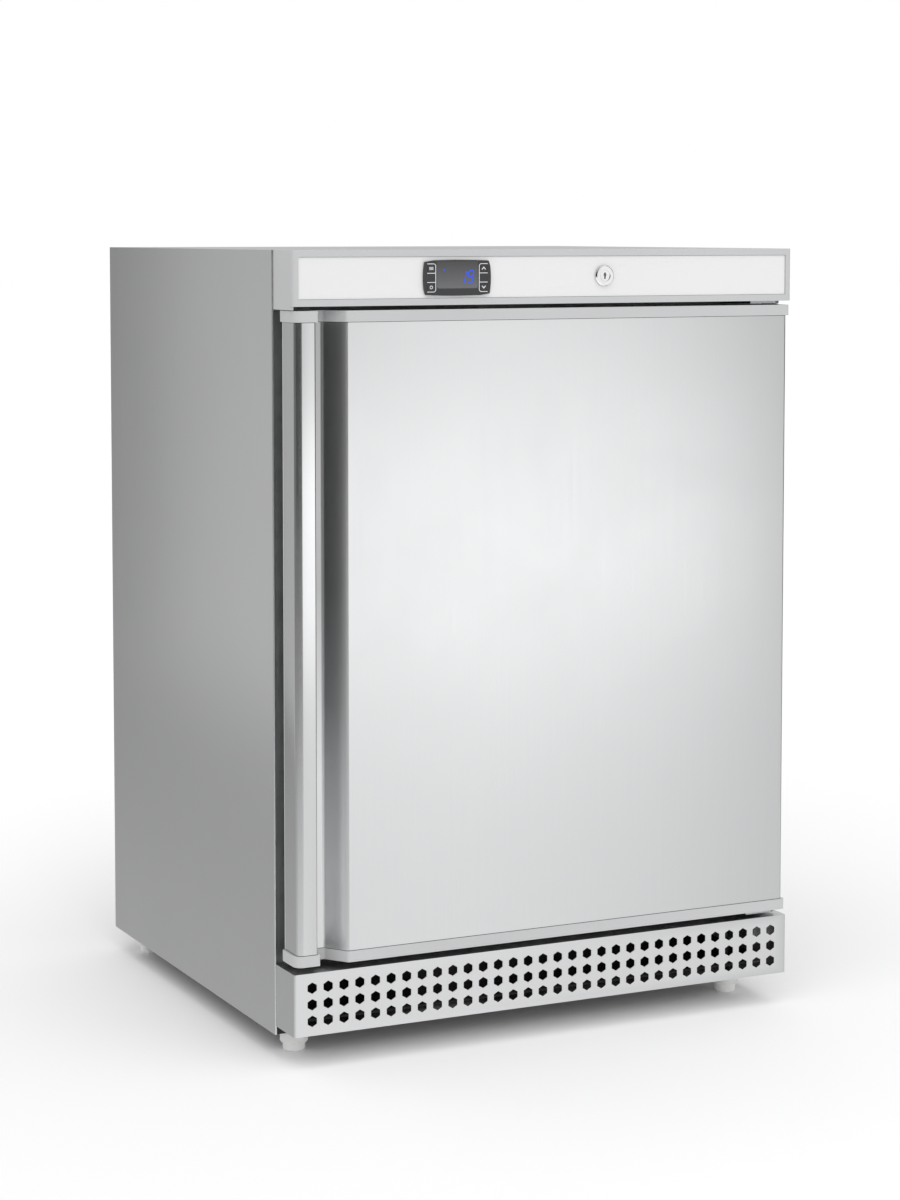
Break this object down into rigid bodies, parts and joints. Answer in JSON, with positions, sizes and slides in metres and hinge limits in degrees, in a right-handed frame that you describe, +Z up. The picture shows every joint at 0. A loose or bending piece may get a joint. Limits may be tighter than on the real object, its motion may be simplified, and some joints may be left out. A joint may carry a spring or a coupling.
{
  "type": "undercounter refrigerator",
  "caption": "Free-standing stainless undercounter refrigerator with a right-hinged solid door, full-height finger grip, key lock, digital controller and perforated air grille.",
  "frame": {"origin": "on the floor, in the middle of the overall width and depth", "axes": "+Z up, -Y out of the door's front, +X to the right seen from the front (the hinge side)"},
  "size_m": [0.6, 0.6, 0.85],
  "materials": {
    "stainless": "satin",
    "satin_aluminium": "satin",
    "zinc_plated": "satin",
    "insulation": "matte",
    "liner_plastic": "satin",
    "shelf_coating": "satin",
    "cold_plate": "satin",
    "black_plastic": "satin",
    "probe_steel": "polished",
    "grey_plastic": "satin",
    "white_panel": "satin",
    "charcoal_plastic": "satin",
    "dark_window": "gloss",
    "display_blue": "gloss",
    "lock_chrome": "polished",
    "compressor_paint": "satin",
    "mount_rubber": "matte",
    "drain_plastic": "satin",
    "condenser_paint": "satin",
    "copper_tube": "satin",
    "gasket_grey": "matte",
    "foot_plastic": "satin"
  },
  "bodies": {
    "cabinet": {"left_side_panel": "stainless", "right_side_panel": "stainless", "top_panel": "stainless", "front_grille": "stainless", "back_panel": "zinc_plated", "machine_bay_panel": "zinc_plated", "front_frame": "zinc_plated", "upper_hinge": "zinc_plated", "lower_hinge": "zinc_plated", "cabinet_screws": "zinc_plated", "cabinet_foam": "insulation", "inner_liner": "liner_plastic", "air_guard": "liner_plastic", "shelf_rails": "liner_plastic", "lower_shelf": "shelf_coating", "middle_shelf": "shelf_coating", "upper_shelf": "shelf_coating", "evaporator": "cold_plate", "fan_motor": "black_plastic", "terminal_box": "black_plastic", "condenser_brackets": "black_plastic", "electrical_box": "black_plastic", "power_inlet": "black_plastic", "evaporation_tray": "black_plastic", "temperature_probe": "probe_steel", "fascia_frame": "grey_plastic", "fascia_insert": "white_panel", "controller_case": "charcoal_plastic", "controller_window": "dark_window", "display_digits": "display_blue", "lock_body": "lock_chrome", "compressor": "compressor_paint", "compressor_mounts": "mount_rubber", "drain_tube": "drain_plastic", "condenser_coil": "condenser_paint", "condenser_wires": "condenser_paint", "base_tray": "condenser_paint", "filter_drier": "copper_tube", "suction_pipe": "copper_tube", "discharge_pipe": "copper_tube", "liquid_line": "copper_tube"},
    "door": {"door_skin": "stainless", "door_handle": "satin_aluminium", "door_top_cap": "grey_plastic", "door_bottom_cap": "grey_plastic", "door_foam": "insulation", "door_liner": "liner_plastic", "door_gasket": "gasket_grey", "door_bushes": "black_plastic"},
    "lock_plug": {"lock_cylinder": "lock_chrome", "lock_cam": "zinc_plated"},
    "fan": {"fan_rotor": "black_plastic"},
    "up_key": {"key_up": "charcoal_plastic"},
    "down_key": {"key_down": "charcoal_plastic"},
    "set_key": {"key_set": "charcoal_plastic"},
    "menu_key": {"key_menu": "charcoal_plastic"},
    "front_left_foot": {"foot_front_left": "foot_plastic"},
    "front_right_foot": {"foot_front_right": "foot_plastic"},
    "rear_left_foot": {"foot_rear_left": "foot_plastic"},
    "rear_right_foot": {"foot_rear_right": "foot_plastic"}
  },
  "joints": [
    {"name": "door_hinge", "type": "hinge", "parent": "cabinet", "child": "door", "pos_m": [0.283, -0.279, 0.45], "axis": [0, 0, 1], "range_deg": [0, 120]},
    {"name": "lock_turn", "type": "hinge", "parent": "cabinet", "child": "lock_plug", "pos_m": [0.063, -0.285, 0.8217], "axis": [0, 1, 0], "range_deg": [0, 90]},
    {"name": "fan_spin", "type": "hinge", "parent": "cabinet", "child": "fan", "pos_m": [0, 0.172, 0.645], "axis": [0, 1, 0], "continuous": true},
    {"name": "up_key_press", "type": "slide", "parent": "cabinet", "child": "up_key", "axis": [0, 1, 0], "range_m": [0, 0.0005], "stiffness_N_per_m": 2000},
    {"name": "down_key_press", "type": "slide", "parent": "cabinet", "child": "down_key", "axis": [0, 1, 0], "range_m": [0, 0.0005], "stiffness_N_per_m": 2000},
    {"name": "set_key_press", "type": "slide", "parent": "cabinet", "child": "set_key", "axis": [0, 1, 0], "range_m": [0, 0.0005], "stiffness_N_per_m": 2000},
    {"name": "menu_key_press", "type": "slide", "parent": "cabinet", "child": "menu_key", "axis": [0, 1, 0], "range_m": [0, 0.0005], "stiffness_N_per_m": 2000},
    {"name": "front_left_foot_screw", "type": "slide", "parent": "cabinet", "child": "front_left_foot", "axis": [0, 0, -1], "range_m": [0, 0.015]},
    {"name": "front_right_foot_screw", "type": "slide", "parent": "cabinet", "child": "front_right_foot", "axis": [0, 0, -1], "range_m": [0, 0.015]},
    {"name": "rear_left_foot_screw", "type": "slide", "parent": "cabinet", "child": "rear_left_foot", "axis": [0, 0, -1], "range_m": [0, 0.015]},
    {"name": "rear_right_foot_screw", "type": "slide", "parent": "cabinet", "child": "rear_right_foot", "axis": [0, 0, -1], "range_m": [0, 0.015]}
  ]
}
